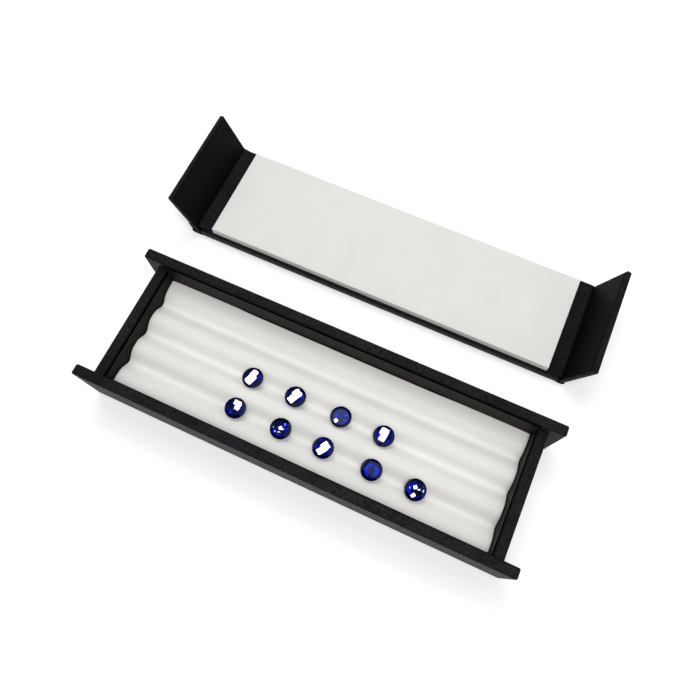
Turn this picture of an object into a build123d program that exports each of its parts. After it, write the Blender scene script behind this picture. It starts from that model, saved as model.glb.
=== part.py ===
from build123d import *
import os
from math import cos, radians, sin, tan

os.makedirs("parts", exist_ok=True)

# A gemstone box: an open tray with a grooved insert, and a loose lid that magnets in
# its two folding end flaps hold shut. The tray's underside is centred on the origin,
# and the lid lies upside down behind it with its flaps half raised. X runs along the
# tray, Y to the back and Z up. All sizes are in millimetres and degrees.

# Tray
tray_length = 222.0                 # along the long walls, ear to ear
tray_width = 72.5                   # over both long walls
wall_height = 34.0                  # rim of the long walls above the table
end_wall_height = 27.6              # top of the end walls, where the lid lands
ear_length = 6.3                    # a long wall runs this far past an end wall
wall_board_thickness = 4.5
base_board_thickness = 3.0
skin = 0.4                          # black leatherette
wrapped_edge = 1.0                  # radius over a wrapped board edge
lining_thickness = 0.4              # under the tray
lining_inset = 1.5
wall_lining_thickness = 0.3         # inside the walls
wall_lining_drop = 1.0              # its top edge below a wall's rim

# Grooved insert
insert_height = 14.1                # foam and cover, above the base board
insert_skin = 0.6                   # white cover
insert_clearance = 0.2              # to each wall lining
insert_edge = 0.8                   # rounding along its two long edges
groove_count = 3
groove_pitch = 17.1
groove_width = 11.4
groove_depth = 4.6
groove_valley_radius = 1.6
groove_shoulder_radius = 2.0

# Lid, as it lies upside down
lid_board_thickness = 4.4
lid_side_play = 3.0                 # both sides together, between the long walls
lid_end_gap = 0.3                   # lid board to a folded flap
lid_edge = 0.8
lid_seat_gap = 0.1                  # closed lid above the end walls
lid_x = -0.6
lid_y = 96.85
pad_rise = 4.2                      # white pad above the lid's inner face
pad_end_gap = 1.2                   # closed pad to an end wall
pad_front_strip = 1.5               # black edge in front of the pad
pad_back_strip = 2.7
pad_skin = 0.6
pad_corner = 2.0
pad_edge = 1.2
lid_lining_start = 0.3              # from the pad's end
lid_lining_end = 1.0                # short of the lid's end

# End flaps
flap_board_thickness = 2.0
flap_gap = 1.1                      # folded flap to the end wall
flap_foot_gap = 2.0                 # folded flap above the table
flap_edge = 0.8
cover_turn_in = 2.0                 # border of a cover turned over onto an inner face
let_in_gap = 0.2                    # round a lining that is let into a cover
left_flap_angle = 69.0              # raised from flat
right_flap_angle = 73.5
fold_radius = 0.5                   # rolled leatherette at the hinge line
fold_gap = 0.1

# Magnets
magnet_diameter = 8.0
wall_magnet_thickness = 2.0
flap_magnet_thickness = 1.2
magnet_height = 12.7                # above the table when the lid is closed
magnet_spacing = 34.0
magnet_clearance = 0.1              # round each magnet in its pocket

# Round brilliant stones
stone_diameter = 10.6
main_count = 8                      # main facets round the crown
table_share = 0.57                  # of the diameter
girdle_share = 0.03                 # of the diameter
crown_angle = 34.5
star_angle = 22.0
upper_half_angle = 41.0
pavilion_angle = 40.75
lower_half_angle = 42.3
stone_seat_gap = 0.15
# Place along the groove, and turn about the stone's own axis
middle_groove_stones = ((-35.8, 8), (-12.4, 31), (12.1, 19), (34.7, 3))
front_groove_stones = ((-36.5, 26), (-11.9, 12), (10.6, 37), (35.8, 22), (58.1, 5))

# Worked out from the sizes above
wall_thickness = wall_board_thickness + 2 * skin
end_outer_x = tray_length / 2 - ear_length
end_inner_x = end_outer_x - wall_thickness
inner_width = tray_width - 2 * wall_thickness
floor_height = lining_thickness + base_board_thickness

insert_length = 2 * (end_inner_x - wall_lining_thickness - insert_clearance)
insert_width = inner_width - 2 * (wall_lining_thickness + insert_clearance)
insert_top = floor_height + insert_height

lid_thickness = lid_board_thickness + 2 * skin
lid_width = inner_width - lid_side_play
flap_thickness = flap_board_thickness + 2 * skin
folded_flap_x = end_outer_x + flap_gap
lid_length = 2 * (folded_flap_x - lid_end_gap)
pad_length = 2 * (end_inner_x - pad_end_gap)
pad_width = lid_width - pad_front_strip - pad_back_strip
pad_y = lid_y + (pad_front_strip - pad_back_strip) / 2
window_width = lid_width - 2 * cover_turn_in
lid_window_start = pad_length / 2 + lid_lining_start
lid_window_end = lid_length / 2 - lid_lining_end
lid_window_x = (lid_window_start + lid_window_end) / 2
lid_window_length = lid_window_end - lid_window_start

pivot_x = folded_flap_x + flap_thickness - fold_radius
closed_pivot_height = end_wall_height + lid_seat_gap + lid_thickness - fold_radius
flap_root = fold_radius + fold_gap
flap_reach = closed_pivot_height - flap_foot_gap
magnet_reach = closed_pivot_height - magnet_height
flap_inner_face = flap_thickness - fold_radius
flap_window_x = (flap_root + flap_reach) / 2
flap_window_length = flap_reach - flap_root - 2 * cover_turn_in

LONG_SIDES = (("front", -1), ("back", 1))
END_SIDES = (("left", -1, left_flap_angle), ("right", 1, right_flap_angle))


# --- Long walls: a board in a wrap, with ears that run past the end walls ---
def long_wall(side, margin):
    """A long wall's rounded outline, taken in by a margin all round."""
    with BuildPart() as wall:
        with BuildSketch(Plane.XY.offset(lining_thickness + margin)):
            with Locations((0, side * (tray_width - wall_thickness) / 2)):
                Rectangle(tray_length - 2 * margin, wall_thickness - 2 * margin)
        extrude(amount=wall_height - lining_thickness - 2 * margin)
        upright_edges = wall.edges().filter_by(Axis.Z)
        top_edges = wall.faces().sort_by(Axis.Z)[-1].edges()
        fillet(upright_edges + top_edges, radius=wrapped_edge - margin)
    return wall.part


for side_name, side in LONG_SIDES:
    board_shape = long_wall(side, skin)
    wrapped_shape = long_wall(side, 0)

    with BuildPart() as wall_board:
        add(board_shape)
    wall_board.part.label = f"{side_name}_wall_board"
    export_step(wall_board.part, f"parts/{side_name}_wall_board.step")

    with BuildPart() as wall_cover:
        add(wrapped_shape)
        add(board_shape, mode=Mode.SUBTRACT)
        # The wall board is bare where the base board is glued to it
        with BuildSketch(Plane.XY.offset(lining_thickness)):
            with Locations((0, side * (inner_width + skin) / 2)):
                Rectangle(2 * end_inner_x, skin)
        extrude(amount=base_board_thickness, mode=Mode.SUBTRACT)
    wall_cover.part.label = f"{side_name}_wall_cover"
    export_step(wall_cover.part, f"parts/{side_name}_wall_cover.step")


# --- End walls: lower, and set in between the long walls ---
def end_wall(side, margin):
    """An end wall's outline, taken in by a margin at its two faces and its top."""
    with BuildPart() as wall:
        with BuildSketch(Plane.XY.offset(lining_thickness)):
            with Locations((side * (end_outer_x - wall_thickness / 2), 0)):
                Rectangle(wall_thickness - 2 * margin, inner_width)
        extrude(amount=end_wall_height - lining_thickness - margin)
        top_edges = wall.faces().sort_by(Axis.Z)[-1].edges().filter_by(Axis.Y)
        fillet(top_edges, radius=wrapped_edge - margin)
    return wall.part


for side_name, side, _ in END_SIDES:
    board_shape = end_wall(side, skin)
    wrapped_shape = end_wall(side, 0)
    # Outer face of the board, looking out, with its local X along the wall
    board_face = Plane(origin=(side * (end_outer_x - skin), 0, magnet_height),
                       x_dir=(0, 1, 0), z_dir=(side, 0, 0))

    with BuildPart() as end_board:
        add(board_shape)
        with BuildSketch(board_face):
            with GridLocations(magnet_spacing, 0, 2, 1):
                Circle(magnet_diameter / 2 + magnet_clearance)
        extrude(amount=-wall_magnet_thickness, mode=Mode.SUBTRACT)
    end_board.part.label = f"{side_name}_end_board"
    export_step(end_board.part, f"parts/{side_name}_end_board.step")

    with BuildPart() as end_cover:
        add(wrapped_shape)
        add(board_shape, mode=Mode.SUBTRACT)
    end_cover.part.label = f"{side_name}_end_cover"
    export_step(end_cover.part, f"parts/{side_name}_end_cover.step")

    with BuildPart() as end_magnets:
        with BuildSketch(board_face):
            with GridLocations(magnet_spacing, 0, 2, 1):
                Circle(magnet_diameter / 2)
        extrude(amount=-wall_magnet_thickness)
    end_magnets.part.label = f"{side_name}_end_magnets"
    export_step(end_magnets.part, f"parts/{side_name}_end_magnets.step")

# --- Floor of the tray ---
with BuildPart() as base_board:
    with BuildSketch(Plane.XY.offset(lining_thickness)):
        Rectangle(2 * end_inner_x, inner_width + 2 * skin)
    extrude(amount=base_board_thickness)
base_board.part.label = "base_board"
export_step(base_board.part, "parts/base_board.step")

with BuildPart() as underside_lining:
    with BuildSketch():
        Rectangle(2 * (end_outer_x - lining_inset), tray_width - 2 * lining_inset)
    extrude(amount=lining_thickness)
underside_lining.part.label = "underside_lining"
export_step(underside_lining.part, "parts/underside_lining.step")

# --- Wall linings: thin sheets on the inner faces, from the floor to just below the rims ---
for side_name, side in LONG_SIDES:
    with BuildPart() as wall_lining:
        with BuildSketch(Plane.XY.offset(floor_height)):
            with Locations((0, side * (inner_width - wall_lining_thickness) / 2)):
                Rectangle(2 * end_inner_x, wall_lining_thickness)
        extrude(amount=wall_height - wall_lining_drop - floor_height)
    wall_lining.part.label = f"{side_name}_wall_lining"
    export_step(wall_lining.part, f"parts/{side_name}_wall_lining.step")

for side_name, side, _ in END_SIDES:
    with BuildPart() as end_lining:
        with BuildSketch(Plane.XY.offset(floor_height)):
            with Locations((side * (end_inner_x - wall_lining_thickness / 2), 0)):
                Rectangle(wall_lining_thickness, inner_width - 2 * wall_lining_thickness)
        extrude(amount=end_wall_height - wall_lining_drop - floor_height)
    end_lining.part.label = f"{side_name}_end_lining"
    export_step(end_lining.part, f"parts/{side_name}_end_lining.step")


# --- Insert: foam with rounded V grooves along the tray, under a white cover ---
def insert_block(margin):
    """The grooved insert, taken in by a margin all round."""
    with BuildPart() as block:
        with BuildSketch(Plane.YZ) as outline:
            with Locations((0, insert_top)):
                Rectangle(insert_width, insert_height + insert_skin, align=(Align.CENTER, Align.MAX))
                with GridLocations(groove_pitch, 0, groove_count, 1):
                    Polygon((-groove_width / 2, 0), (groove_width / 2, 0), (0, -groove_depth),
                            align=None, mode=Mode.SUBTRACT)
            valleys = outline.vertices().group_by(Axis.Y)[1]
            fillet(valleys, radius=groove_valley_radius)
            shoulders = outline.vertices().group_by(Axis.Y)[-1].sort_by(Axis.X)[1:-1]
            fillet(shoulders, radius=groove_shoulder_radius)
            top_corners = outline.vertices().group_by(Axis.Y)[-1].sort_by(Axis.X)
            fillet([top_corners[0], top_corners[-1]], radius=insert_edge)
            if margin:
                offset(amount=-margin, mode=Mode.REPLACE)
        extrude(amount=insert_length / 2 - margin, both=True)
    return block.part


insert_foam_shape = insert_block(insert_skin)
insert_shape = insert_block(0)

with BuildPart() as insert_foam:
    add(insert_foam_shape)
insert_foam.part.label = "insert_foam"
export_step(insert_foam.part, "parts/insert_foam.step")

with BuildPart() as insert_cover:
    add(insert_shape)
    add(insert_foam_shape, mode=Mode.SUBTRACT)
    # Open underneath, where the foam lies on the base board
    split(bisect_by=Plane.XY.offset(floor_height), keep=Keep.TOP)
insert_cover.part.label = "insert_cover"
export_step(insert_cover.part, "parts/insert_cover.step")


# --- Lid: a wrapped board with a padded inner face, lying with that face up ---
def lid_slab(margin):
    """The lid's outline, taken in by a margin all round."""
    with BuildPart() as slab:
        with BuildSketch(Plane.XY.offset(margin)):
            with Locations((lid_x, lid_y)):
                Rectangle(lid_length - 2 * margin, lid_width - 2 * margin)
        extrude(amount=lid_thickness - 2 * margin)
        # The outer face stays square at its ends, where the folds carry on from it
        long_edges = slab.edges().filter_by(Axis.X)
        inner_end_edges = slab.faces().sort_by(Axis.Z)[-1].edges().filter_by(Axis.Y)
        fillet(long_edges + inner_end_edges, radius=lid_edge - margin)
    return slab.part


def pad_block(margin, foot):
    """The pad's outline from a foot height up, taken in by a margin."""
    with BuildPart() as pad:
        with BuildSketch(Plane.XY.offset(foot)):
            with Locations((lid_x, pad_y)):
                Rectangle(pad_length - 2 * margin, pad_width - 2 * margin)
        extrude(amount=lid_thickness + pad_rise - margin - foot)
        fillet(pad.edges().filter_by(Axis.Z), radius=pad_corner - margin)
        fillet(pad.faces().sort_by(Axis.Z)[-1].edges(), radius=pad_edge - margin)
    return pad.part


lid_board_shape = lid_slab(skin)
lid_shape = lid_slab(0)
pad_foam_shape = pad_block(pad_skin, lid_thickness - skin)
pad_shape = pad_block(0, lid_thickness)

with BuildPart() as lid_board:
    add(lid_board_shape)
lid_board.part.label = "lid_board"
export_step(lid_board.part, "parts/lid_board.step")

with BuildPart() as lid_cover:
    add(lid_shape)
    add(lid_board_shape, mode=Mode.SUBTRACT)
    # The turned-in borders stop at the pad, whose foam is glued to the board
    add(pad_foam_shape, mode=Mode.SUBTRACT)
    # A lining is let into them beyond each end of the pad
    with BuildSketch(Plane.XY.offset(lid_thickness - skin)):
        with Locations((lid_x - lid_window_x, lid_y), (lid_x + lid_window_x, lid_y)):
            Rectangle(lid_window_length, window_width)
    extrude(amount=skin, mode=Mode.SUBTRACT)
lid_cover.part.label = "lid_cover"
export_step(lid_cover.part, "parts/lid_cover.step")

with BuildPart() as lid_pad_foam:
    add(pad_foam_shape)
lid_pad_foam.part.label = "lid_pad_foam"
export_step(lid_pad_foam.part, "parts/lid_pad_foam.step")

with BuildPart() as lid_pad_cover:
    add(pad_shape)
    add(pad_foam_shape, mode=Mode.SUBTRACT)
lid_pad_cover.part.label = "lid_pad_cover"
export_step(lid_pad_cover.part, "parts/lid_pad_cover.step")

for side_name, side, _ in END_SIDES:
    with BuildPart() as lid_lining:
        with BuildSketch(Plane.XY.offset(lid_thickness - skin)):
            with Locations((lid_x + side * lid_window_x, lid_y)):
                Rectangle(lid_window_length - 2 * let_in_gap, window_width - 2 * let_in_gap)
        extrude(amount=skin)
    lid_lining.part.label = f"{side_name}_lid_lining"
    export_step(lid_lining.part, f"parts/{side_name}_lid_lining.step")

for side_name, side, _ in END_SIDES:
    with BuildPart() as fold:
        with BuildSketch(Plane.XZ.offset(-lid_y)):
            with Locations((lid_x + side * (lid_length / 2 + pivot_x) / 2, skin / 2)):
                Rectangle(pivot_x - lid_length / 2, skin)
            with Locations((lid_x + side * pivot_x, fold_radius)):
                Circle(fold_radius)
        extrude(amount=lid_width / 2, both=True)
    fold.part.label = f"{side_name}_fold"
    export_step(fold.part, f"parts/{side_name}_fold.step")


# --- End flaps: thinner boards that turn about the folds ---
def flap_frame(side, angle):
    """The flap's own frame: X from the hinge to the tip, Z out of its inner face."""
    raised = radians(angle)
    return Plane(origin=(lid_x + side * pivot_x, lid_y, fold_radius),
                 x_dir=(side * cos(raised), 0, sin(raised)),
                 z_dir=(-side * sin(raised), 0, cos(raised)))


def flap_slab(frame, margin):
    """A flap's outline in its frame, taken in by a margin all round."""
    with BuildPart() as slab:
        with BuildSketch(frame.offset(margin - fold_radius)):
            with Locations((flap_root + margin, 0)):
                Rectangle(flap_reach - flap_root - 2 * margin, lid_width - 2 * margin,
                          align=(Align.MIN, Align.CENTER))
        extrude(amount=flap_thickness - 2 * margin)
        reach = Axis(frame.origin, frame.x_dir)
        side_edges = slab.edges().filter_by(reach)
        tip_edges = slab.faces().sort_by(reach)[-1].edges()
        fillet(side_edges + tip_edges, radius=flap_edge - margin)
    return slab.part


for side_name, side, angle in END_SIDES:
    frame = flap_frame(side, angle)
    board_shape = flap_slab(frame, skin)
    wrapped_shape = flap_slab(frame, 0)
    board_top = frame.offset(flap_inner_face - skin)

    with BuildPart() as flap_board:
        add(board_shape)
        with BuildSketch(board_top):
            with Locations((magnet_reach, 0)):
                with GridLocations(0, magnet_spacing, 1, 2):
                    Circle(magnet_diameter / 2 + magnet_clearance)
        extrude(amount=-flap_magnet_thickness, mode=Mode.SUBTRACT)
    flap_board.part.label = f"{side_name}_flap_board"
    export_step(flap_board.part, f"parts/{side_name}_flap_board.step")

    with BuildPart() as flap_cover:
        add(wrapped_shape)
        add(board_shape, mode=Mode.SUBTRACT)
        with BuildSketch(board_top):
            with Locations((flap_window_x, 0)):
                Rectangle(flap_window_length, window_width)
        extrude(amount=skin, mode=Mode.SUBTRACT)
    flap_cover.part.label = f"{side_name}_flap_cover"
    export_step(flap_cover.part, f"parts/{side_name}_flap_cover.step")

    with BuildPart() as flap_lining:
        with BuildSketch(board_top):
            with Locations((flap_window_x, 0)):
                Rectangle(flap_window_length - 2 * let_in_gap, window_width - 2 * let_in_gap)
        extrude(amount=skin)
    flap_lining.part.label = f"{side_name}_flap_lining"
    export_step(flap_lining.part, f"parts/{side_name}_flap_lining.step")

    with BuildPart() as flap_magnets:
        with BuildSketch(board_top):
            with Locations((magnet_reach, 0)):
                with GridLocations(0, magnet_spacing, 1, 2):
                    Circle(magnet_diameter / 2)
        extrude(amount=-flap_magnet_thickness)
    flap_magnets.part.label = f"{side_name}_flap_magnets"
    export_step(flap_magnets.part, f"parts/{side_name}_flap_magnets.step")

# --- Stones: round brilliants, cut facet by facet from a cylinder ---
stone_radius = stone_diameter / 2
table_radius = table_share * stone_radius
girdle_thickness = girdle_share * stone_diameter
crown_height = (stone_radius - table_radius) * tan(radians(crown_angle))
pavilion_depth = stone_radius * tan(radians(pavilion_angle))
facet_step = 360 / main_count
table_edge_radius = table_radius * cos(radians(facet_step / 2))


def facet(azimuth, slope, radius, height, face):
    """The plane of a facet that passes a point at a radius and height, facing up or down."""
    turn = radians(azimuth)
    tilt = radians(slope)
    return Plane(origin=(radius * cos(turn), radius * sin(turn), height),
                 z_dir=(sin(tilt) * cos(turn), sin(tilt) * sin(turn), face * cos(tilt)))


main_azimuths = [i * facet_step for i in range(main_count)]
star_azimuths = [(i + 0.5) * facet_step for i in range(main_count)]
half_azimuths = [(i + 0.5) * facet_step / 2 for i in range(2 * main_count)]
facets = (
    [facet(a, crown_angle, stone_radius, girdle_thickness, 1) for a in main_azimuths]
    + [facet(a, star_angle, table_edge_radius, girdle_thickness + crown_height, 1)
       for a in star_azimuths]
    + [facet(a, upper_half_angle, stone_radius, girdle_thickness, 1) for a in half_azimuths]
    + [facet(a, pavilion_angle, 0, -pavilion_depth, -1) for a in main_azimuths]
    + [facet(a, lower_half_angle, stone_radius, 0, -1) for a in half_azimuths]
)
with BuildPart() as brilliant:
    with BuildSketch(Plane.XY.offset(-pavilion_depth)):
        Circle(stone_radius)
    extrude(amount=pavilion_depth + girdle_thickness + crown_height)
    for cut in facets:
        split(bisect_by=cut, keep=Keep.BOTTOM)

# A stone sinks until its point or the edge of its girdle meets the groove
groove_slope = groove_depth / (groove_width / 2)
rounded_valley_rise = groove_valley_radius * ((1 + groove_slope ** 2) ** 0.5 - 1)
point_height = insert_top - groove_depth + rounded_valley_rise + pavilion_depth
edge_height = insert_top - groove_depth + groove_slope * stone_radius
stone_height = max(point_height, edge_height) + stone_seat_gap

groove_rows = ((0, middle_groove_stones), (-groove_pitch, front_groove_stones))
stone_places = [(x, y, turn) for y, row in groove_rows for x, turn in row]
for number, (x, y, turn) in enumerate(stone_places, start=1):
    with BuildPart() as stone:
        with Locations(Location((x, y, stone_height), (0, 0, turn))):
            add(brilliant.part)
    stone.part.label = f"blue_stone_{number}"
    export_step(stone.part, f"parts/blue_stone_{number}.step")
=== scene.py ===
# %% [markdown]
# # A gemstone box, dressed for the camera
# The box is an open tray with a grooved white insert, and a loose padded lid with two
# folding end flaps. Its boards, covers, linings and magnets come from the CAD model at
# their real size and place, and stay as they are. This script gives every surface its
# finish. It also cuts the stones, and models what is soft: the insert's cover, the lid's
# pad and the leatherette that bends at each hinge.

# %% Load the fixed frame
from math import cos, pi, radians, sin

import bmesh
import bpy
from mathutils import Matrix, Vector


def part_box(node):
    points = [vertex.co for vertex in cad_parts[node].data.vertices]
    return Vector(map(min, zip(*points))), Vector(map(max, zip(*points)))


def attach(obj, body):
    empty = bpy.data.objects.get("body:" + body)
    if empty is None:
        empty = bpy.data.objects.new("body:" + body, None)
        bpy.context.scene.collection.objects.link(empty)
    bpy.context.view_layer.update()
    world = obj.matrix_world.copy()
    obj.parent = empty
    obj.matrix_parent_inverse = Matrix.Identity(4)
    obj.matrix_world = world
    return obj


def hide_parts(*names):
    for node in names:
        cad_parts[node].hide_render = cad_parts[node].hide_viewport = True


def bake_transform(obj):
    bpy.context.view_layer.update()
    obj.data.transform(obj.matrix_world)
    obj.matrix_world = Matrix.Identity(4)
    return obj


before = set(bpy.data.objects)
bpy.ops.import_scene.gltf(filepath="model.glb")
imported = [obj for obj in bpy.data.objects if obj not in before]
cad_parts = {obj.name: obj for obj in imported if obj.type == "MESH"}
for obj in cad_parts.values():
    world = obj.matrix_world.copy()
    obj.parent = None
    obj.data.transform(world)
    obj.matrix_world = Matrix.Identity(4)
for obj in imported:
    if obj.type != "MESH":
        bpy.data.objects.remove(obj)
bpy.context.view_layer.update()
mm = 0.001

# %% [markdown]
# ## The camera
# A product of this size is shot from a step above the table with a short lens, so the
# near corner looks larger than the far one. The camera is placed in millimetres and
# aimed by two turns: how far it looks up from straight down, and its heading. That is
# easier to read than a target point, and it keeps the horizon level.

# %% Place the camera
camera_place = Vector((43.51, -58.58, 310.84)) * mm
camera_tilt = 19.014                # degrees up from straight down
camera_heading = 24.382             # degrees to the left of the back
camera_lens = 31.648                # mm
sensor_width = 36                   # mm

camera_data = bpy.data.cameras.new("camera")
camera_data.lens = camera_lens
camera_data.sensor_width = sensor_width
camera = bpy.data.objects.new("camera", camera_data)
camera.location = camera_place
camera.rotation_euler = (radians(camera_tilt), 0, radians(camera_heading))
bpy.context.scene.collection.objects.link(camera)
bpy.context.scene.camera = camera
print("camera", [round(v / mm, 1) for v in camera.location])

# %% [markdown]
# ## One way to add a shader node
# A material is a small network. Each step of it needs the same few lines: make the node,
# set its choices, type its numbers in and join its inputs. One function does all of
# them, so that a material below reads as a list of what it is made of. A second one turns
# a colour picker's value into the linear colour that shaders take, and a third starts an
# empty material.

# %% Three helpers for materials
def to_linear(hex_colour):
    """An sRGB hex value, as a colour picker shows it, turned to linear red, green and blue."""
    parts = [int(hex_colour[i:i + 2], 16) / 255 for i in (1, 3, 5)]
    linear = [p / 12.92 if p <= 0.04045 else ((p + 0.055) / 1.055) ** 2.4 for p in parts]
    return (*linear, 1)


def add_node(tree, kind, values=None, links=None, **choices):
    """Adds a node, sets its choices and its input values, and joins its inputs to outputs."""
    node = tree.nodes.new(kind)
    for name, choice in choices.items():
        setattr(node, name, choice)
    for socket, value in (values or {}).items():
        node.inputs[socket].default_value = value
    for socket, source in (links or {}).items():
        tree.links.new(source, node.inputs[socket])
    return node


def new_material(name):
    """An empty node material, with its tree and its output node."""
    material = bpy.data.materials.new(name)
    material.use_nodes = True
    tree = material.node_tree
    tree.nodes.clear()
    return material, tree, add_node(tree, "ShaderNodeOutputMaterial")


# %% [markdown]
# ## Studio
# The box lies on a white table in a room with pale walls and a dimmer ceiling, with a
# window high up behind its left end and a skylight over its front. Both are area lamps.
# The window throws soft shadows to the front and right, and the skylight reaches down
# into the tray. The ceiling is dimmer than the walls, so that tops that mirror it stay
# dark and sides look lighter. Straight overhead it is darkest, which is what the stones'
# flat tables mirror, so their colour stays deep.

# %% Light the room
wall_light = 0.46
ceiling_light = 0.36
overhead_light = 0.10
# Where one passes into the next, as the height of a direction: 0 is level, 1 is overhead
wall_to_ceiling = (0.2, 0.9)
ceiling_to_overhead = (0.90, 0.96)
window_power = 3.8                  # watts
window_size = (0.60, 0.32)          # metres, as are the places below
window_place = Vector((-0.30, 0.56, 1.28))
skylight_power = 7.0
skylight_size = (0.50, 0.40)
skylight_place = Vector((0.22, -0.22, 1.3))
lamp_aim = Vector((0.0, 0.03, 0.0))

world = bpy.data.worlds.new("pale_room")
bpy.context.scene.world = world
world.use_nodes = True
tree = world.node_tree
tree.nodes.clear()
way = add_node(tree, "ShaderNodeTexCoord").outputs["Generated"]
parts = add_node(tree, "ShaderNodeSeparateXYZ", links={0: way})
level = add_node(tree, "ShaderNodeMapRange",
                 {"From Min": wall_to_ceiling[0], "From Max": wall_to_ceiling[1],
                  "To Min": wall_light, "To Max": ceiling_light},
                 {"Value": parts.outputs["Z"]})
dim = add_node(tree, "ShaderNodeMapRange",
               {"From Min": ceiling_to_overhead[0], "From Max": ceiling_to_overhead[1],
                "To Min": 1.0, "To Max": overhead_light / ceiling_light},
               {"Value": parts.outputs["Z"]})
shine = add_node(tree, "ShaderNodeMath", operation="MULTIPLY",
                 links={0: level.outputs[0], 1: dim.outputs[0]})
room = add_node(tree, "ShaderNodeBackground", {"Color": to_linear("#FDFEFF")},
                {"Strength": shine.outputs[0]})
backdrop = add_node(tree, "ShaderNodeBackground", {"Color": to_linear("#FFFFFF"), "Strength": 1.0})
rays = add_node(tree, "ShaderNodeLightPath")
sees_white = add_node(tree, "ShaderNodeMixShader",
                      links={0: rays.outputs["Is Camera Ray"], 1: room.outputs[0], 2: backdrop.outputs[0]})
add_node(tree, "ShaderNodeOutputWorld", links={"Surface": sees_white.outputs[0]})


def hang_lamp(name, place, turn, size, power, colour="#FFFFFF"):
    """An area lamp of a size in metres. It shines straight down before it is turned."""
    data = bpy.data.lights.new(name, "AREA")
    data.color = to_linear(colour)[:3]
    data.shape = "RECTANGLE"
    data.size, data.size_y = size
    data.energy = power
    lamp = bpy.data.objects.new(name, data)
    lamp.location = place
    lamp.rotation_euler = turn
    bpy.context.scene.collection.objects.link(lamp)


for name, place, size, power in (("window", window_place, window_size, window_power),
                                 ("skylight", skylight_place, skylight_size, skylight_power)):
    hang_lamp(name, place, (place - lamp_aim).to_track_quat("Z", "Y").to_euler(), size, power)
bpy.context.scene.view_settings.view_transform = "Standard"
print("window at", [round(v, 2) for v in window_place], "m")

# %% [markdown]
# ## Catch lights
# A cut stone looks alive when its table, the flat facet on top, mirrors something small
# and bright. In a studio, little lit cards hang over the stones for that. A table mirrors
# what lies along one line only, so each card's place follows from the camera and the
# stone: go from the camera to the table, and on upwards at the same slope. A card is a
# few lamps that overlap, so that its mirror image has steps like a window's panes. Seen
# from elsewhere, the tables mirror the dim ceiling instead, and the stones look darker.

# %% Hang a card for each stone
card_height = 1.2                   # metres above the table
pane_step = 0.01                    # from each pane down to the next, so that none hides another
card_radiance = 60.0                # white is 1, and a glass facet mirrors about a twentieth
table_share = 0.74                  # of a stone's diameter
dim_card = "#8FA0FF"                # for a card that only lightens a stone
dim_below = 0.1                     # the brightness under which a card is a dim one
# For each stone, its panes: place across and up, and length and width, all in shares of
# the facet's radius, then slope in degrees, and brightness
cards = {
    1: ((-0.25, -0.25, 1.3, 0.95, 48, 1.0), (0.30, 0.36, 0.9, 0.75, 48, 1.0)),
    2: ((-0.10, -0.08, 1.7, 0.85, 40, 1.0), (0.28, 0.22, 0.9, 0.95, 40, 1.0)),
    3: ((0.0, 0.0, 2.2, 2.2, 0, 0.05), (-0.60, -0.60, 0.42, 0.42, 45, 1.0)),
    4: ((-0.05, -0.05, 1.3, 0.75, 60, 1.0), (0.05, 0.38, 0.9, 0.95, 60, 1.0)),
    5: ((0.40, 0.22, 1.1, 0.6, 60, 1.0), (0.36, 0.42, 0.6, 0.85, 60, 1.0)),
    6: ((0.0, 0.05, 0.42, 0.42, 20, 1.0), (-0.80, 0.05, 0.10, 0.22, 0, 0.3),
        (-0.56, -0.56, 0.24, 0.10, -45, 0.5), (0.0, -0.78, 0.34, 0.10, 0, 0.5),
        (0.56, -0.56, 0.24, 0.10, 45, 0.4), (0.82, -0.05, 0.10, 0.2, 0, 0.3)),
    7: ((-0.10, -0.28, 1.3, 0.75, 33, 1.0), (0.32, 0.08, 0.9, 0.9, 33, 1.0)),
    8: ((0.25, 0.15, 1.7, 1.7, 45, 0.03),),
    9: ((0.0, 0.3, 0.42, 0.42, 30, 1.0), (-0.38, -0.72, 0.55, 0.38, 30, 1.0),
        (-0.80, 0.15, 0.10, 0.26, 0, 0.3), (0.78, 0.22, 0.10, 0.3, 15, 0.4),
        (0.66, -0.42, 0.24, 0.10, 55, 0.5), (0.12, -0.30, 0.30, 0.14, 0, 0.6)),
}
across = Vector((cos(radians(camera_heading)), sin(radians(camera_heading)), 0))
upwards = Vector((-across.y, across.x, 0))

for number, panes in cards.items():
    stone_low, stone_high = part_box(f"blue_stone_{number}")
    facet = Vector(((stone_low.x + stone_high.x) / 2, (stone_low.y + stone_high.y) / 2, stone_high.z))
    facet_radius = table_share * (stone_high.x - stone_low.x) / 2
    climb = camera_place.z - facet.z
    further = (card_height - facet.z) / climb
    middle = facet + Vector(((facet.x - camera_place.x) * further, (facet.y - camera_place.y) * further,
                             card_height - facet.z))
    # The mirror image of a card shrinks with the length of the way that light goes
    radius = facet_radius * (1 + further)
    for pane, (right, up, length, width, slope, glow) in enumerate(panes):
        place = middle + (across * right + upwards * up) * radius - Vector((0, 0, pane * pane_step))
        size = (length * radius, width * radius)
        power = card_radiance * glow * pi * size[0] * size[1]
        colour = "#FFFFFF" if glow > dim_below else dim_card
        turn = (0, 0, radians(slope + camera_heading))
        hang_lamp(f"card_{number}_{pane}", place, turn, size, power, colour)
print("cards for", len(cards), "stones")

# %% [markdown]
# ## The table
# The table is matt and white. A lit white table still looks pale grey round a dark box,
# which shades it, so its material adds a little glow that only camera, mirror and glass
# rays see. The table then reads as white, keeps the box's shadow, and sends no extra
# light back to the box. The lamps don't reach its far parts, so there it glows more.

# %% Lay the table
table_size = 6.0                    # metres
table_drop = 0.2 * mm               # under the box, so that no two faces share a plane
table_glow = 0.31
far_glow = 1.0
lit_reach = (0.4, 1.3)              # metres out, where the lamps' light starts to go and is gone

bpy.ops.object.select_all(action="DESELECT")
bpy.ops.mesh.primitive_plane_add(size=table_size, location=(0, 0, -table_drop))
table = bpy.context.object
table.name = "table"
bpy.ops.object.transform_apply(location=True)

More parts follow.
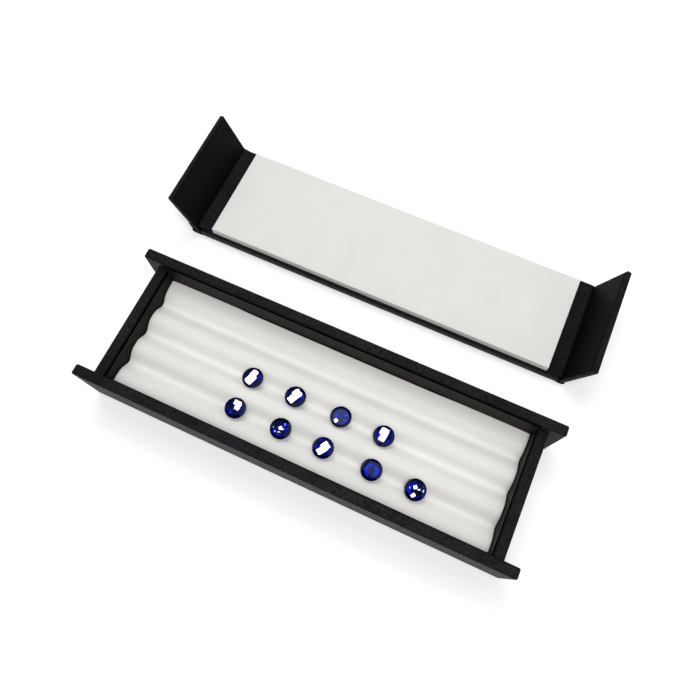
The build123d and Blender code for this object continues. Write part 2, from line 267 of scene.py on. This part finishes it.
white_table, tree, output = new_material("white_table")
paint = add_node(tree, "ShaderNodeBsdfDiffuse", {"Color": to_linear("#F0F0F0")})
place = add_node(tree, "ShaderNodeTexCoord").outputs["Object"]
distance = add_node(tree, "ShaderNodeVectorMath", links={0: place}, operation="LENGTH")
strength = add_node(tree, "ShaderNodeMapRange",
                    {"From Min": lit_reach[0], "From Max": lit_reach[1],
                     "To Min": table_glow, "To Max": far_glow},
                    {"Value": distance.outputs["Value"]})
glow = add_node(tree, "ShaderNodeEmission", links={"Strength": strength.outputs[0]})
lit = add_node(tree, "ShaderNodeAddShader", links={0: paint.outputs[0], 1: glow.outputs[0]})
rays = add_node(tree, "ShaderNodeLightPath")
camera_or_mirror = add_node(tree, "ShaderNodeMath", operation="MAXIMUM",
                            links={0: rays.outputs["Is Camera Ray"], 1: rays.outputs["Is Glossy Ray"]})
or_glass = add_node(tree, "ShaderNodeMath", operation="MAXIMUM",
                    links={0: camera_or_mirror.outputs[0], 1: rays.outputs["Is Transmission Ray"]})
seen = add_node(tree, "ShaderNodeMixShader",
                links={0: or_glass.outputs[0], 1: paint.outputs[0], 2: lit.outputs[0]})
tree.links.new(seen.outputs[0], output.inputs["Surface"])
table.data.materials.append(white_table)
print("table", table_size, "m wide")

# %% [markdown]
# ## Black leatherette
# The boards are wrapped in leatherette, a paper or cloth with a thin polyurethane skin
# that is embossed with a fine pebble grain. The skin is nearly black with a cool cast,
# and half dull. The grain is a Voronoi pattern, whose cells are the pebbles, bent by
# noise so that no two are alike. Real pebbles would be about 0.6 mm across, which is too
# fine to show here, so they are drawn 0.9 mm across. Handling polishes the high spots a
# little, so the grain drives the roughness as well as the bump. The colour also has painted
# shade in the hollows between pebbles, and painted light on their tops.

# %% How leatherette is made
grain_size = 0.9 * mm
grain_height = 0.12 * mm
cloud_size = 18 * mm                # of the patches where its tone is uneven
# Width of the black line of painted shadow under a lining's top edge
shadow_line_width = 1.6 * mm               # drawn wider than real, to show


def leatherette(name, colour, pebble, height, dull, polished, gloss, uneven_and_grain_shade, shadow_line_z=None):
    """Grained polyurethane skin: pebbles of a size and height, between two roughness values.

    A lining that ends at a height has a black line of painted shadow just below it, of the width set above
    this function.
    """
    material, tree, output = new_material(name)
    place = add_node(tree, "ShaderNodeTexCoord").outputs["Object"]
    wander = add_node(tree, "ShaderNodeTexNoise", {"Scale": 0.5 / pebble, "Detail": 2.0},
                      {"Vector": place})
    bent = add_node(tree, "ShaderNodeVectorMath", {"Scale": 0.6 * pebble},
                    {0: wander.outputs["Color"]}, operation="SCALE")
    bent_place = add_node(tree, "ShaderNodeVectorMath", links={0: place, 1: bent.outputs[0]},
                          operation="ADD")
    pebbles = add_node(tree, "ShaderNodeTexVoronoi", {"Scale": 1 / pebble, "Randomness": 1.0},
                       {"Vector": bent_place.outputs[0]}, feature="SMOOTH_F1")
    cloud = add_node(tree, "ShaderNodeTexNoise", {"Scale": 1 / cloud_size, "Detail": 4.0},
                     {"Vector": place})
    cloud_tone = add_node(tree, "ShaderNodeMapRange",
                     {"From Min": 0.3, "From Max": 0.7, "To Min": 1 - uneven_and_grain_shade, "To Max": 1 + uneven_and_grain_shade},
                     {"Value": cloud.outputs["Fac"]})
    # Painted shade and light: the colour darkens in the hollows between pebbles and lightens on their tops
    grain_hollow_shade = add_node(tree, "ShaderNodeMapRange",
                      {"From Min": 0.15, "From Max": 0.75,
                       "To Min": 1 + 0.6 * uneven_and_grain_shade, "To Max": 1 - 1.2 * uneven_and_grain_shade},
                      {"Value": pebbles.outputs["Distance"]})
    tone_and_grain_shade = add_node(tree, "ShaderNodeMath", operation="MULTIPLY",
                    links={0: cloud_tone.outputs[0], 1: grain_hollow_shade.outputs[0]})
    tint = add_node(tree, "ShaderNodeVectorMath", {0: to_linear(colour)[:3]}, {"Scale": tone_and_grain_shade.outputs[0]},
                    operation="SCALE")
    rough = add_node(tree, "ShaderNodeMapRange",
                     {"From Min": 0.1, "From Max": 0.7, "To Min": polished, "To Max": dull},
                     {"Value": pebbles.outputs["Distance"]})
    bump = add_node(tree, "ShaderNodeBump", {"Strength": 1.0, "Distance": height},
                    {"Height": pebbles.outputs["Distance"]}, invert=True)
    skin = add_node(tree, "ShaderNodeBsdfPrincipled", {"Specular IOR Level": gloss},
                    {"Base Color": tint.outputs[0], "Roughness": rough.outputs[0], "Normal": bump.outputs[0]})
    if shadow_line_z is None:
        tree.links.new(skin.outputs[0], output.inputs["Surface"])
        return material
    # Painted shadow: the lining turns black in a band just under its top edge
    height_up = add_node(tree, "ShaderNodeSeparateXYZ", links={0: place}).outputs["Z"]
    # The line's lower fifth is soft
    in_shadow_line = add_node(tree, "ShaderNodeMapRange",
                       {"From Min": shadow_line_z - shadow_line_width, "From Max": shadow_line_z - 0.8 * shadow_line_width},
                       {"Value": height_up})
    shadow = add_node(tree, "ShaderNodeBsdfDiffuse", {"Color": to_linear("#020202")})
    lined = add_node(tree, "ShaderNodeMixShader",
                     links={0: in_shadow_line.outputs[0], 1: skin.outputs[0], 2: shadow.outputs[0]})
    tree.links.new(lined.outputs[0], output.inputs["Surface"])
    return material


print("grain", round(grain_size / mm, 2), "mm")

# %% [markdown]
# ## The leatherettes in use
# The covers have the deepest grain, and the skin over the lid's ends is a shade darker.
# The linings are nearly smooth: black on the flaps, and brownish inside the walls, where
# painted shadow makes a dark line just under each lining's top edge. The pad and the insert
# are white and hardly grained. The insert's white is painted lighter than the pad's, so that
# it holds its own in the shade of the walls.

# %% Mix the leatherettes
fine_grain = 0.5 * mm
lining_grain_height = 0.02 * mm
white_grain_height = 0.006 * mm

black_leatherette = leatherette("black_leatherette", "#131518", grain_size, grain_height,
                                dull=0.70, polished=0.46, gloss=0.13, uneven_and_grain_shade=0.55)
hinge_leatherette = leatherette("black_hinge_leatherette", "#101114", grain_size, grain_height,
                                dull=0.70, polished=0.5, gloss=0.1, uneven_and_grain_shade=0.5)
black_lining = leatherette("black_lining_leatherette", "#0F0E0E", fine_grain, lining_grain_height,
                           dull=0.62, polished=0.52, gloss=0.06, uneven_and_grain_shade=0.15)
wall_linings = {}
for word, node_name in (("wall_lining", "back_wall_lining"), ("end_lining", "left_end_lining")):
    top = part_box(node_name)[1].z
    wall_linings[word] = leatherette(f"brown_black_{word}_leatherette", "#13120F",
                                     fine_grain, lining_grain_height,
                                     dull=0.62, polished=0.52, gloss=0.10, uneven_and_grain_shade=0.15, shadow_line_z=top)
    print(word, "top at", round(top / mm, 2), "mm")
pad_leatherette = leatherette("white_pad_leatherette", "#EEECE8", fine_grain, white_grain_height,
                              dull=0.62, polished=0.52, gloss=0.35, uneven_and_grain_shade=0.02)
# Painted light: the insert is the pad's leatherette, given a lighter white to make up for the shade of the
# walls
insert_leatherette_painted_lighter = leatherette("white_insert_leatherette", "#F5F3EF", fine_grain, white_grain_height,
                                 dull=0.62, polished=0.52, gloss=0.35, uneven_and_grain_shade=0.02)

# %% [markdown]
# ## What lies under the skin
# Grey board is pressed from waste paper, so it is flecked. The foam is a fine closed cell
# foam, a black paper lines the tray's underside, and the magnets are nickel plated. They
# hardly show, but they are finished all the same.

# %% Grey board, foam, paper and nickel
def flecked(name, dark, light, fleck, height, roughness):
    """A matt material with flecks of a size between two colours."""
    material, tree, output = new_material(name)
    place = add_node(tree, "ShaderNodeTexCoord").outputs["Object"]
    flecks = add_node(tree, "ShaderNodeTexNoise", {"Scale": 1 / fleck, "Detail": 6.0},
                      {"Vector": place})
    tint = add_node(tree, "ShaderNodeMix", {"A": to_linear(dark), "B": to_linear(light)},
                    {0: flecks.outputs["Fac"]}, data_type="RGBA")
    bump = add_node(tree, "ShaderNodeBump", {"Distance": height},
                    {"Height": flecks.outputs["Fac"]})
    body = add_node(tree, "ShaderNodeBsdfPrincipled", {"Roughness": roughness},
                    {"Base Color": tint.outputs["Result"], "Normal": bump.outputs[0]})
    tree.links.new(body.outputs[0], output.inputs["Surface"])
    return material


grey_board = flecked("grey_board", "#6E6B64", "#A5A197", 0.8 * mm, 0.05 * mm, 0.95)
white_foam = flecked("white_foam", "#E2E0DA", "#F4F3EF", 0.3 * mm, 0.05 * mm, 0.9)
lining_paper = flecked("black_lining_paper", "#161616", "#222222", 0.5 * mm, 0.02 * mm, 0.85)

scuff_size = 1.5 * mm
nickel, tree, output = new_material("nickel_plate")
place = add_node(tree, "ShaderNodeTexCoord").outputs["Object"]
scuff = add_node(tree, "ShaderNodeTexNoise", {"Scale": 1 / scuff_size, "Detail": 5.0},
                 {"Vector": place})
rough = add_node(tree, "ShaderNodeMapRange", {"To Min": 0.18, "To Max": 0.38},
                 {"Value": scuff.outputs["Fac"]})
plate = add_node(tree, "ShaderNodeBsdfPrincipled",
                 {"Base Color": to_linear("#C9C5BC"), "Metallic": 1.0},
                 {"Roughness": rough.outputs[0]})
tree.links.new(plate.outputs[0], output.inputs["Surface"])
print("under the skin: board, foam, paper, nickel")

# %% [markdown]
# ## Blue glass
# The stones are cut from deep blue glass. Facets do the work: light that enters the crown
# bounces in the pavilion and comes back out, darker the further it went. The shader's
# blue tints light at each pass through the surface, and absorption inside takes more of
# the red and green away on a longer path.

# %% Blue glass
zone_size = 6 * mm                  # of lighter and darker zones in the colour
blue_glass, tree, output = new_material("blue_glass")
place = add_node(tree, "ShaderNodeTexCoord").outputs["Object"]
zone = add_node(tree, "ShaderNodeTexNoise", {"Scale": 1 / zone_size, "Detail": 1.0},
                {"Vector": place})
tint = add_node(tree, "ShaderNodeMix", {"A": to_linear("#0B1868"), "B": to_linear("#102C88")},
                {0: zone.outputs["Fac"]}, data_type="RGBA")
glass = add_node(tree, "ShaderNodeBsdfPrincipled",
                 {"Roughness": 0.0, "IOR": 1.54, "Transmission Weight": 1.0},
                 {"Base Color": tint.outputs["Result"]})
tree.links.new(glass.outputs[0], output.inputs["Surface"])
depth = add_node(tree, "ShaderNodeVolumeAbsorption",
                 {"Color": (0.0, 0.28, 0.75, 1.0), "Density": 230.0})
tree.links.new(depth.outputs[0], output.inputs["Volume"])
print("blue glass ready")

# %% [markdown]
# ## Cutting a stone
# A round brilliant has a flat table, a low crown, a thin girdle and a pointed pavilion.
# These are cut with a wide table, so that they look larger. A cylinder of sixteen sides
# is the girdle. Its top is pulled up and shrunk to the table, and turned by half a side,
# so that the crown breaks into triangles. Its underside is pulled down in three steps, to
# two turned rings and then to the point. Facets stay flat shaded, as a cut stone's are.

# %% Cut one stone
stone_sides = 16
crown_height = 0.95 * mm
girdle_height = 0.3 * mm
# Where the pavilion's facets meet: share of the girdle's radius, and of the way down. The
# last ring is so small that it can be merged into the point.
rings = ((0.72, 0.30), (0.36, 0.66), (0.004, 1.0))
facing = 0.9                        # least part of a normal that points up or down


def shrink_on(way, share, turn):
    """Pulls the selected face on by a way, shrinks it to a share and turns it by degrees."""
    bpy.ops.mesh.extrude_region_move(TRANSFORM_OT_translate={"value": way})
    mesh = bmesh.from_edit_mesh(bpy.context.object.data)
    chosen = [v.co.copy() for v in mesh.verts if v.select]
    middle = sum(chosen, Vector()) / len(chosen)
    bpy.ops.transform.resize(value=(share, share, 1), center_override=middle)
    bpy.ops.transform.rotate(value=radians(turn), orient_axis="Z", center_override=middle)


def select_end(upper):
    """Selects a cylinder's top face, or its bottom face."""
    bpy.ops.mesh.select_mode(type="FACE")
    bpy.ops.mesh.select_all(action="DESELECT")
    mesh = bmesh.from_edit_mesh(bpy.context.object.data)
    for face in mesh.faces:
        face.select_set(face.normal.z > facing if upper else face.normal.z < -facing)
    bmesh.update_edit_mesh(bpy.context.object.data)


stone_low, stone_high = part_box("blue_stone_1")
stone_radius = (stone_high.x - stone_low.x) / 2
stone_height = stone_high.z - stone_low.z
pavilion_depth = stone_height - crown_height - girdle_height
bpy.ops.object.select_all(action="DESELECT")
girdle_middle = stone_height - crown_height - girdle_height / 2
bpy.ops.mesh.primitive_cylinder_add(vertices=stone_sides, radius=stone_radius, depth=girdle_height,
                                    location=(0, 0, girdle_middle))
first_stone = bpy.context.object
first_stone.name = "cut_stone"
bpy.ops.object.transform_apply(location=True)
bpy.ops.object.mode_set(mode="EDIT")
half_side = 180 / stone_sides
select_end(upper=True)
shrink_on((0, 0, crown_height), table_share, half_side)
select_end(upper=False)
last_share, last_depth = 1, 0
for share, down in rings:
    shrink_on((0, 0, -pavilion_depth * (down - last_depth)), share / last_share, half_side)
    last_share, last_depth = share, down
bpy.ops.mesh.merge(type="CENTER")
bpy.ops.mesh.select_all(action="SELECT")
bpy.ops.mesh.quads_convert_to_tris(quad_method="SHORTEST_DIAGONAL", ngon_method="BEAUTY")
bpy.ops.mesh.normals_make_consistent(inside=False)
bpy.ops.object.mode_set(mode="OBJECT")
first_stone.data.materials.append(blue_glass)

# %% [markdown]
# ## Nine stones from one
# The first stone is copied with its own mesh, before it is moved. Each stone then goes to
# its place in the grooves, turned a little from the last, so that no two glint alike.

# %% Copy the stone and seat the nine
stone_turn = 13                     # degrees from each stone to the next

stones = {}
for number in cards:
    cut_stone = first_stone if number == 1 else first_stone.copy()
    if number > 1:
        cut_stone.data = first_stone.data.copy()
        bpy.context.scene.collection.objects.link(cut_stone)
    cut_stone.name = f"cut_stone_{number}"
    stones[number] = cut_stone
for number, cut_stone in stones.items():
    low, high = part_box(f"blue_stone_{number}")
    place = Vector(((low.x + high.x) / 2, (low.y + high.y) / 2, low.z))
    turn = Matrix.Rotation(radians(number * stone_turn), 4, "Z")
    cut_stone.data.transform(Matrix.Translation(place) @ turn)
    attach(cut_stone, f"stone_{number}")
    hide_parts(f"blue_stone_{number}")
print("stones cut:", len(stones), "with", len(first_stone.data.polygons), "facets each")

# %% [markdown]
# ## Dressing the CAD nodes
# Each node's name says what the piece is, so a short table does for all of them: a node
# takes the first finish in it that has one of its words in the node's name. The nodes
# that softer pieces replace are dressed too, so that none is ever bare.

# %% Dress the CAD nodes
finishes = (
    (black_leatherette, ("wall_cover", "end_cover", "lid_cover", "flap_cover", "_fold")),
    (black_lining, ("flap_lining", "lid_lining")),
    (wall_linings["wall_lining"], ("wall_lining",)),
    (wall_linings["end_lining"], ("end_lining",)),
    (lining_paper, ("underside_lining",)),
    (grey_board, ("_board",)),
    (white_foam, ("foam",)),
    (insert_leatherette_painted_lighter, ("insert_cover",)),
    (pad_leatherette, ("pad_cover",)),
    (nickel, ("magnets",)),
    (blue_glass, ("stone",)),
)
for node_name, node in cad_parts.items():
    finish = next(f for f, words in finishes if any(w in node_name for w in words))
    node.data.materials.clear()
    node.data.materials.append(finish)
print("dressed", len(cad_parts), "nodes")

# %% [markdown]
# ## How soft pieces get their shape
# Leatherette over foam is tight, a little crowned, and round at every edge. A block is
# cut into a grid, with one cut close beside each edge to hold it crisp. Cloth with air
# pressure inside then crowns it, and two steps of subdivision round its edges off. Cloth
# works best at the size of furniture, so a piece is swollen at twenty times its size.
# Points by the glued underside stay put, and no point may move further than a limit, so
# the piece keeps its measures.

# %% Helpers for soft pieces
cloth_scale = 20
cloth_frames = 20
cloth_pressure = 6.0


def select_only(piece):
    """Makes a piece the only selected and active object."""
    bpy.ops.object.select_all(action="DESELECT")
    piece.select_set(True)
    bpy.context.view_layer.objects.active = piece


def block(name, low, high):
    """A cube stretched between two corners."""
    bpy.ops.object.select_all(action="DESELECT")
    bpy.ops.mesh.primitive_cube_add(size=1, location=(low + high) / 2, scale=high - low)
    bpy.context.object.name = name
    bpy.ops.object.transform_apply(location=True, scale=True)
    return bpy.context.object


def cut_places(low, high, spacing, hold):
    """Even places between two sides, and one at a small distance from each side."""
    count = round((high - low) / spacing)
    return [low + hold] + [low + (high - low) * i / count for i in range(1, count)] + [high - hold]


def cut_across(piece, axis, places):
    """Cuts a piece right round at places along an axis, so that it can bend there."""
    select_only(piece)
    bpy.ops.object.mode_set(mode="EDIT")
    for place in places:
        on_plane, normal = Vector(), Vector()
        on_plane[axis], normal[axis] = place, 1
        bpy.ops.mesh.select_all(action="SELECT")
        bpy.ops.mesh.bisect(plane_co=on_plane, plane_no=normal)
    bpy.ops.object.mode_set(mode="OBJECT")


def soften(piece, furthest, glued_below):
    """Crowns a piece whose foot is glued below a height, and rounds it off."""
    select_only(piece)
    at_rest = [v.co.copy() for v in piece.data.vertices]
    glued = piece.vertex_groups.new(name="glued")
    glued.add([v.index for v in piece.data.vertices if v.co.z < glued_below], 1.0, "REPLACE")
    piece.data.transform(Matrix.Scale(cloth_scale, 4))
    skin = piece.modifiers.new("skin", "CLOTH")
    skin.settings.use_pressure = True
    skin.settings.uniform_pressure_force = cloth_pressure
    skin.settings.effector_weights.gravity = 0
    skin.settings.vertex_group_mass = glued.name
    for frame_number in range(1, cloth_frames + 1):
        bpy.context.scene.frame_set(frame_number)
    bpy.ops.object.modifier_apply(modifier=skin.name)
    piece.data.transform(Matrix.Scale(1 / cloth_scale, 4))
    piece.vertex_groups.clear()
    bpy.context.scene.frame_set(1)
    moves = [(v.co - start).length for v, start in zip(piece.data.vertices, at_rest)]
    print(piece.name, "swells by up to", round(max(moves) / mm, 2), "mm before the limit")
    for vertex, start in zip(piece.data.vertices, at_rest):
        way = vertex.co - start
        if way.length:
            vertex.co = start + way * min(1, furthest / way.length)
    rounder = piece.modifiers.new("rounder", "SUBSURF")
    rounder.levels = rounder.render_levels = 2
    bpy.ops.object.modifier_apply(modifier=rounder.name)
    bpy.ops.object.shade_smooth()


def finish_soft(piece, skin, body, node):
    """Covers a soft piece in its skin and puts it in a node's place."""
    piece.data.materials.append(skin)
    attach(piece, body)
    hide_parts(node)
    print(piece.name, len(piece.data.polygons), "faces, top at",
          round(max(v.co.z for v in piece.data.vertices) / mm, 2), "mm")


# %% [markdown]
# ## The lid's pad
# A slab of foam in white leatherette is glued to the lid's inner face. It is a little
# shorter than the inside of the box, so black shows at both ends and in a thin line
# along the front. Its cover is pulled tight, so its outline is nearly as crisp as a
# board's.

# %% Pad the lid
pad_spacing = 5 * mm                # between the cuts of its grid
pad_hold = 0.5 * mm                 # from each edge to the cut that keeps it crisp
pad_proud = 0.25 * mm               # how far the filling lifts it
pad_give = 0.15 * mm                # the furthest that a point may move
pad_glue = 0.5 * mm                 # height of the band that is glued

pad_low, pad_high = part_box("lid_pad_cover")
pad_top = pad_high.z + pad_proud
lid_pad = block("soft_lid_pad", pad_low, Vector((pad_high.x, pad_high.y, pad_top)))
cut_across(lid_pad, 0, cut_places(pad_low.x, pad_high.x, pad_spacing, pad_hold))
cut_across(lid_pad, 1, cut_places(pad_low.y, pad_high.y, pad_spacing, pad_hold))
cut_across(lid_pad, 2, (pad_low.z + pad_hold, pad_top - pad_hold))
soften(lid_pad, pad_give, pad_low.z + pad_glue)
finish_soft(lid_pad, pad_leatherette, "lid", "lid_pad_cover")

# %% [markdown]
# ## The grooved insert
# The insert is a block of foam with three V grooves, in the same white leatherette. The
# skin is pulled down into the grooves, so their lands are round and their floors soft.
# The block is cut along the shoulders, slopes and floor of each groove, and the floor
# and slope lines are pulled down. Rounding takes a little off a valley, so the floor is
# pulled deeper than it ends up.

# %% Fill the tray
groove_pitch = 17.1 * mm
groove_places = (-groove_pitch, 0.0, groove_pitch)
groove_width = 11.4 * mm
line_shares = (-0.5, -0.25, 0, 0.25, 0.5)     # shoulder, slope, floor, slope and shoulder
floor_pull = 5.05 * mm
slope_pull = 2.35 * mm
insert_spacing = 6 * mm             # between the cuts across the grooves
insert_hold = 0.7 * mm              # from each edge to the cut that keeps it crisp
insert_shy = 0.1 * mm               # left at the top for the filling to take up
insert_give = 0.15 * mm             # the furthest that a point may move
insert_glue = 1 * mm                # height of the band that is glued
near = 0.01 * mm                    # how near a point is to a line that it lies on

insert_low, insert_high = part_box("insert_cover")
surface = insert_high.z - insert_shy
insert = block("soft_insert", insert_low, Vector((insert_high.x, insert_high.y, surface)))
land_middles = [(a + b) / 2 for a, b in zip(groove_places, groove_places[1:])]
lines = list(land_middles)
for place in groove_places:
    lines += [place + groove_width * share for share in line_shares]
cut_across(insert, 0, cut_places(insert_low.x, insert_high.x, insert_spacing, insert_hold))
cut_across(insert, 1, lines + [insert_low.y + insert_hold, insert_high.y - insert_hold])
cut_across(insert, 2, (surface - insert_hold,))

select_only(insert)
bpy.ops.object.mode_set(mode="EDIT")
bpy.ops.mesh.select_mode(type="VERT")
for share, pull_down in ((0, floor_pull), (0.25, slope_pull)):
    bpy.ops.mesh.select_all(action="DESELECT")
    mesh = bmesh.from_edit_mesh(insert.data)
    for vertex in mesh.verts:
        from_groove = min(abs(vertex.co.y - place) for place in groove_places)
        on_line = abs(from_groove - groove_width * share) < near
        vertex.select_set(on_line and vertex.co.z > surface - insert_hold - near)
    bmesh.update_edit_mesh(insert.data)
    bpy.ops.transform.translate(value=(0, 0, -pull_down))
bpy.ops.object.mode_set(mode="OBJECT")
soften(insert, insert_give, insert_low.z + insert_glue)
finish_soft(insert, insert_leatherette_painted_lighter, "tray", "insert_cover")

# %% [markdown]
# ## Two strips at each hinge
# The lid's cover runs on past the end of its board and turns up into the flap. Inside, a
# lining runs from the pad over the lid's end, dips into the gap and climbs the flap.
# Both are living hinges: leatherette that bends. Each is a strip whose upright end face is
# pulled along the lid, spun round each bend and pulled on up the flap.

# %% How a strip is bent
degrees_per_step = 8


def start_strip(name, x, middle_y, z, width, skin):
    """An upright end face, with edit mode on and the face selected."""
    bpy.ops.object.select_all(action="DESELECT")
    bpy.ops.mesh.primitive_plane_add(size=1, location=(x, middle_y, z), rotation=(0, radians(90), 0))
    strip = bpy.context.object
    strip.name = name
    strip.scale = (skin, width, 1)
    bpy.ops.object.transform_apply(location=True, rotation=True, scale=True)
    bpy.ops.object.mode_set(mode="EDIT")
    bpy.ops.mesh.select_all(action="SELECT")
    return strip


def pull(way):
    """Pulls the end face on, in a straight run."""
    bpy.ops.mesh.extrude_region_move(TRANSFORM_OT_translate={"value": way})


def bend(centre, degrees, side):
    """Spins the end face about a line across the strip, up for positive degrees."""
    steps = max(2, round(abs(degrees) / degrees_per_step))
    # The spin operator turns left-handed about its axis
    axis = (0, side if degrees > 0 else -side, 0)
    bpy.ops.mesh.spin(steps=steps, angle=radians(abs(degrees)), center=centre, axis=axis)


def along(degrees, side):
    """The way a strip runs at an angle above level."""
    return Vector((side * cos(radians(degrees)), 0, sin(radians(degrees))))


def outward(degrees, side):
    """From the centre of a downward bend to the strip, where it runs at that angle."""
    return Vector((-side * sin(radians(degrees)), 0, cos(radians(degrees))))


# %% [markdown]
# ## Closing a strip
# Spinning can leave doubled points and turn faces inside out, so points are merged and
# faces turned outwards before the strip is dressed.

# %% How a strip is closed and where it turns
pivot_height = 0.5 * mm
flap_angles = {"left": 69.0, "right": 73.5}      # degrees up from flat
merge_within = 0.001 * mm
smooth_below = 40                   # degrees between faces, above which an edge stays sharp


def close_strip(strip, material):
    """Closes the strip's mesh and dresses it."""
    bpy.ops.mesh.select_all(action="SELECT")
    bpy.ops.mesh.remove_doubles(threshold=merge_within)
    bpy.ops.mesh.normals_make_consistent(inside=False)
    bpy.ops.object.mode_set(mode="OBJECT")
    bpy.ops.object.shade_smooth_by_angle(angle=radians(smooth_below))
    strip.data.materials.append(material)
    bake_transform(strip)
    xs = [v.co.x / mm for v in strip.data.vertices]
    zs = [v.co.z / mm for v in strip.data.vertices]
    print(strip.name, "x", round(min(xs), 2), round(max(xs), 2),
          "z", round(min(zs), 2), round(max(zs), 2))


def hinge(side_name, side):
    """A flap's pivot, and the ways up the flap and out of its outer face."""
    fold_low, fold_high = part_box(f"{side_name}_fold")
    pivot_x = fold_low.x + pivot_height if side < 0 else fold_high.x - pivot_height
    pivot = Vector((pivot_x, (fold_low.y + fold_high.y) / 2, pivot_height))
    angle = flap_angles[side_name]
    return pivot, along(angle, side), -outward(angle, side)


# %% [markdown]
# ## The outer fold
# The cover's slack stands out a little beyond the hinge line, more at the left end than at
# the right. The left strip runs out along the table, turns up past the flap's slope, and
# leans back until it meets the flap's outer face. The right strip turns up at once. The
# last stretch of each is glued to its flap.

# %% Bend the outer folds
fold_skin = 0.4 * mm
fold_seat = 0.72 * mm               # middle of the strip outside the pivot, on the flap's face
fold_overlap = 1.5 * mm             # of the strip on the flap
# How far a strip runs past the pivot, the radius it turns up with, and how many degrees
# it then leans back
fold_bends = {"left": (1.7 * mm, 1.5 * mm, 40), "right": (0.0, 0.88 * mm, 0)}

for side_name, side in (("left", -1), ("right", 1)):
    fold_low, fold_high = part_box(f"{side_name}_fold")
    lid_end = fold_high.x if side < 0 else fold_low.x
    pivot, up_the_flap, out_of_flap = hinge(side_name, side)
    slack, bend_radius, lean = fold_bends[side_name]

    fold = start_strip(f"{side_name}_bent_fold", lid_end, pivot.y, fold_skin / 2,
                       fold_high.y - fold_low.y, fold_skin)
    pull((pivot.x + side * slack - lid_end, 0, 0))
    centre = Vector((pivot.x + side * slack, pivot.y, fold_skin / 2 + bend_radius))
    turned = flap_angles[side_name] + lean
    bend(centre, turned, side)
    if lean:
        # Where the strip is now, and how far outside its seat on the flap
        outside = -outward(turned, side)
        place = centre + outside * bend_radius
        too_far = (place - pivot).dot(out_of_flap) - fold_seat
        back_radius = too_far / (1 - cos(radians(lean)))
        bend(place + outside * back_radius, -lean, side)
    pull(up_the_flap * fold_overlap)
    fold.update_from_editmode()
    close_strip(fold, black_leatherette)
    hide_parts(f"{side_name}_fold")

# %% [markdown]
# ## The inner lining
# One strip runs from the pad over the lid's end, dips into the gap and climbs the flap to
# just short of its tip. A real one has slack, so that the flap can be laid flat, and with
# the flap up that slack lifts off the lid's end. This strip has some 5 mm less than it
# would need. The CAD linings stay beneath it, so that no bare board shows where it lifts.
# Grained leatherette covers the lid's end, and a smooth lining the flap, with a narrow
# border of the cover all round.

# %% Bend the inner linings
lining_skin = 0.3 * mm
lining_lift = 0.05 * mm             # clear of the faces that it lies on
lining_border = 1.2 * mm            # of cover left bare along the front and back
rise = 18                           # degrees that the slack lifts the strip by
rise_round = 5 * mm
fall = 70                           # degrees below level, into the gap
crest_round = 0.9 * mm              # radius of the strip's middle at the crest
gap_round = 0.24 * mm               # and in the gap
gap_height = {"left": 6.8 * mm, "right": 5.8 * mm}
flap_face = 2.3 * mm                # flap's inner face, inside the pivot
lining_far_ends = {"left": 29.4 * mm, "right": 28.7 * mm}     # from the pivot, along the flap
loose_length = 3 * mm               # of the strip on the flap, just past the gap
loose_steps = 10                    # faces along it, because only their corners can bend
grained_to = 2 * mm                 # above the gap's middle

lid_low, lid_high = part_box("lid_cover")
for side_name, side in (("left", -1), ("right", 1)):
    pivot, up_the_flap, out_of_flap = hinge(side_name, side)
    pad_end = pad_low.x if side < 0 else pad_high.x
    middle_z = lid_high.z + lining_lift + lining_skin / 2

    lining = start_strip(f"{side_name}_hinge_lining", pad_end, pivot.y, middle_z,
                         lid_high.y - lid_low.y - 2 * lining_border, lining_skin)
    # The bend in the gap ends on the flap's face, which gives its centre
    on_face = pivot - out_of_flap * (flap_face + lining_lift + lining_skin / 2 + gap_round)
    in_gap = on_face + up_the_flap * ((gap_height[side_name] - on_face.z) / up_the_flap.z)
    crest = in_gap - outward(-fall, side) * (crest_round + gap_round)
    risen = crest + outward(rise, side) * crest_round
    slope = along(rise, side)
    lift = risen.z - middle_z - rise_round * (1 - cos(radians(rise)))
    slope_start = risen - slope * (lift / slope.z)
    rise_start = slope_start.x - side * rise_round * sin(radians(rise))
    pull((rise_start - pad_end, 0, 0))
    bend((rise_start, pivot.y, middle_z + rise_round), rise, side)
    pull(risen - slope_start)
    bend(crest, -rise - fall, side)
    bend(in_gap, fall + flap_angles[side_name], side)
    place = in_gap + out_of_flap * gap_round
    for _ in range(loose_steps):
        pull(up_the_flap * loose_length / loose_steps)
    run = lining_far_ends[side_name] - (place - pivot).dot(up_the_flap)
    pull(up_the_flap * (run - loose_length))
    close_strip(lining, black_lining)
    lining.data.materials.append(hinge_leatherette)
    for face in lining.data.polygons:
        on_the_lid = side * (crest.x - face.center.x) > 0
        is_low = face.center.z < in_gap.z + grained_to
        face.material_index = 1 if on_the_lid and is_low else 0
    print(side_name, "crest", round(risen.z / mm, 2), "mm up, rise starts",
          round(abs(rise_start) / mm, 2), "mm out")
